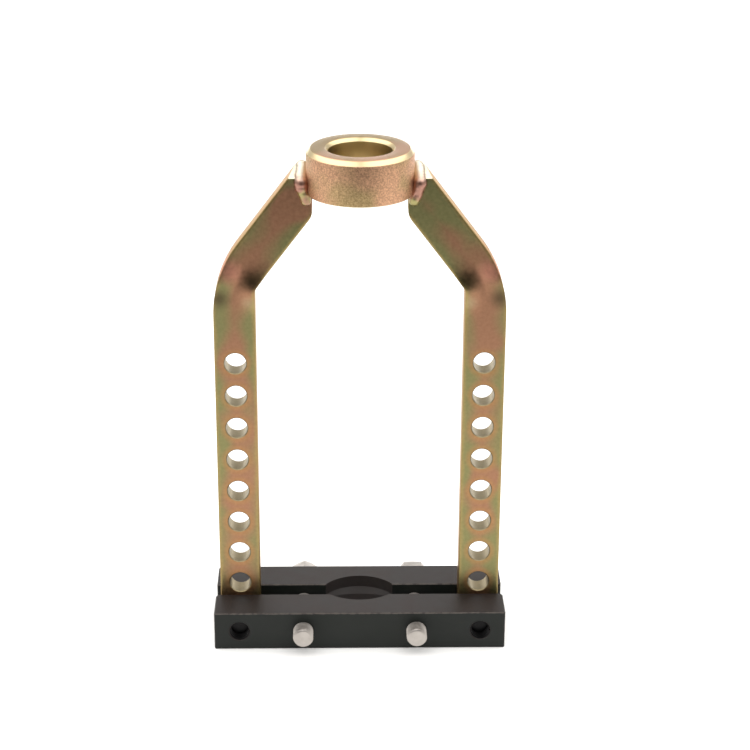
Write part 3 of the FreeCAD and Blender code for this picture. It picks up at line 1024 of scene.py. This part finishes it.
# Tapped threads: the ridge that a tap leaves in the front jaw's four holes, cut in the same steel and in step
# with the screws' grooves.
ridge_foot = 5.1 * MM
ridge_crest = 4.26 * MM
ridge_profile = [
    (ridge_foot, (0.125 - 0.42) * thread_pitch),
    (ridge_crest, (0.125 - 0.08) * thread_pitch),
    (ridge_crest, (0.125 + 0.08) * thread_pitch),
    (ridge_foot, (0.125 + 0.42) * thread_pitch),
]
for place_name, x, tip_y in (
    ("bolt_left", -bolt_x, under_head_y - bolt_length),
    ("bolt_right", bolt_x, under_head_y - bolt_length),
    ("end_left", -cap_x, rear_high.y - cap_length),
    ("end_right", cap_x, rear_high.y - cap_length),
):
    first_turn = math.ceil((jaw_low.y + 0.5 * MM - tip_y) / thread_pitch)
    turns = math.floor((jaw_high.y - 0.8 * MM - tip_y) / thread_pitch) - first_turn
    ridge = helix(f"tapped_thread_{place_name}", ridge_profile, turns, closed=True)
    close_ends(ridge)
    lay_along_y(ridge, x, tip_y + first_turn * thread_pitch)
    give(ridge, oiled_oxide)
    smooth(ridge, 25)
    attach(ridge, "frame")

# Floor: a wide pale sheet, lit a little from within so that it runs out to white.
deselect()
bpy.ops.mesh.primitive_plane_add(size=40, location=(0, 0, cad_low.z))
floor = bpy.context.object
floor.name = "floor"
place(floor)
pale, shader = new_material("pale_floor")
shader.inputs["Base Color"].default_value = linear("#f4f3f1")
shader.inputs["Roughness"].default_value = 0.9
shader.inputs["Emission Color"].default_value = (1, 1, 1, 1)
shader.inputs["Emission Strength"].default_value = 0.1
give(floor, pale)

# Flags: dark cards that only reflections see. One lies in front of the object and one stands behind the
# camera, and the upright faces mirror them.
dark, shader = new_material("dark_card")
shader.inputs["Base Color"].default_value = linear("#4a4947")
shader.inputs["Roughness"].default_value = 0.9
for name, spot, tilt in (
    ("low_flag", (0, -1.1, cad_low.z + 0.012), 0),
    ("tall_flag", (0, -1.6, 0.6), math.pi / 2),
):
    deselect()
    bpy.ops.mesh.primitive_plane_add(size=1, location=spot, rotation=(tilt, 0, 0))
    flag = bpy.context.object
    flag.name = name
    flag.scale = (1.5, 1.15, 1)
    place(flag)
    give(flag, dark)
    flag.visible_camera = False
    flag.visible_shadow = False
    flag.visible_diffuse = False

# World and soft boxes: an even pale room, and two wide lamps overhead that pick out the tops and bevels.
world = bpy.data.worlds.new("studio")
world.use_nodes = True
world.node_tree.nodes["Background"].inputs["Color"].default_value = linear("#efefed")
world.node_tree.nodes["Background"].inputs["Strength"].default_value = 0.85
bpy.context.scene.world = world
bpy.context.scene.view_settings.view_transform = "Standard"

for name, x in (("soft_box_left", -0.7), ("soft_box_right", 0.7)):
    lamp = bpy.data.lights.new(name, "AREA")
    lamp.shape = "RECTANGLE"
    lamp.size = 1.25
    lamp.size_y = 1.9
    lamp.energy = 15
    box = bpy.data.objects.new(name, lamp)
    box.location = (x, 0.15, 1.1)
    bpy.context.scene.collection.objects.link(box)

# Back card: a low bright strip far behind the object, which the flat tops and the bevels mirror.
deselect()
bpy.ops.mesh.primitive_plane_add(size=1, rotation=(math.pi / 2, 0, 0), location=(0, 1.75, 0.21))
back_card = bpy.context.object
back_card.name = "back_card"
back_card.scale = (4.0, 0.4, 1)
place(back_card)
bright, shader = new_material("lit_card")
shader.inputs["Base Color"].default_value = linear("#ffffff")
shader.inputs["Emission Color"].default_value = (1, 1, 1, 1)
shader.inputs["Emission Strength"].default_value = 1.6
give(back_card, bright)

# Camera: a long lens in front, a little to the left, looking down on the object.
view_turn = math.radians(1.235)
view_height = math.radians(22.62)
view_roll = math.radians(0.307)
view_distance = 0.9643
aim = Vector((7.4, -0.2, 137.9)) * MM
back = Vector(
    (
        -math.sin(view_turn) * math.cos(view_height),
        -math.cos(view_turn) * math.cos(view_height),
        math.sin(view_height),
    )
)
lens = bpy.data.cameras.new("camera")
lens.sensor_width = 36
lens.lens = 95.3
camera = bpy.data.objects.new("camera", lens)
camera.location = aim + back * view_distance
camera.rotation_mode = "QUATERNION"
camera.rotation_quaternion = (-back).to_track_quat("-Z", "Y") @ Quaternion((0, 0, 1), view_roll)
bpy.context.scene.collection.objects.link(camera)
bpy.context.scene.camera = camera
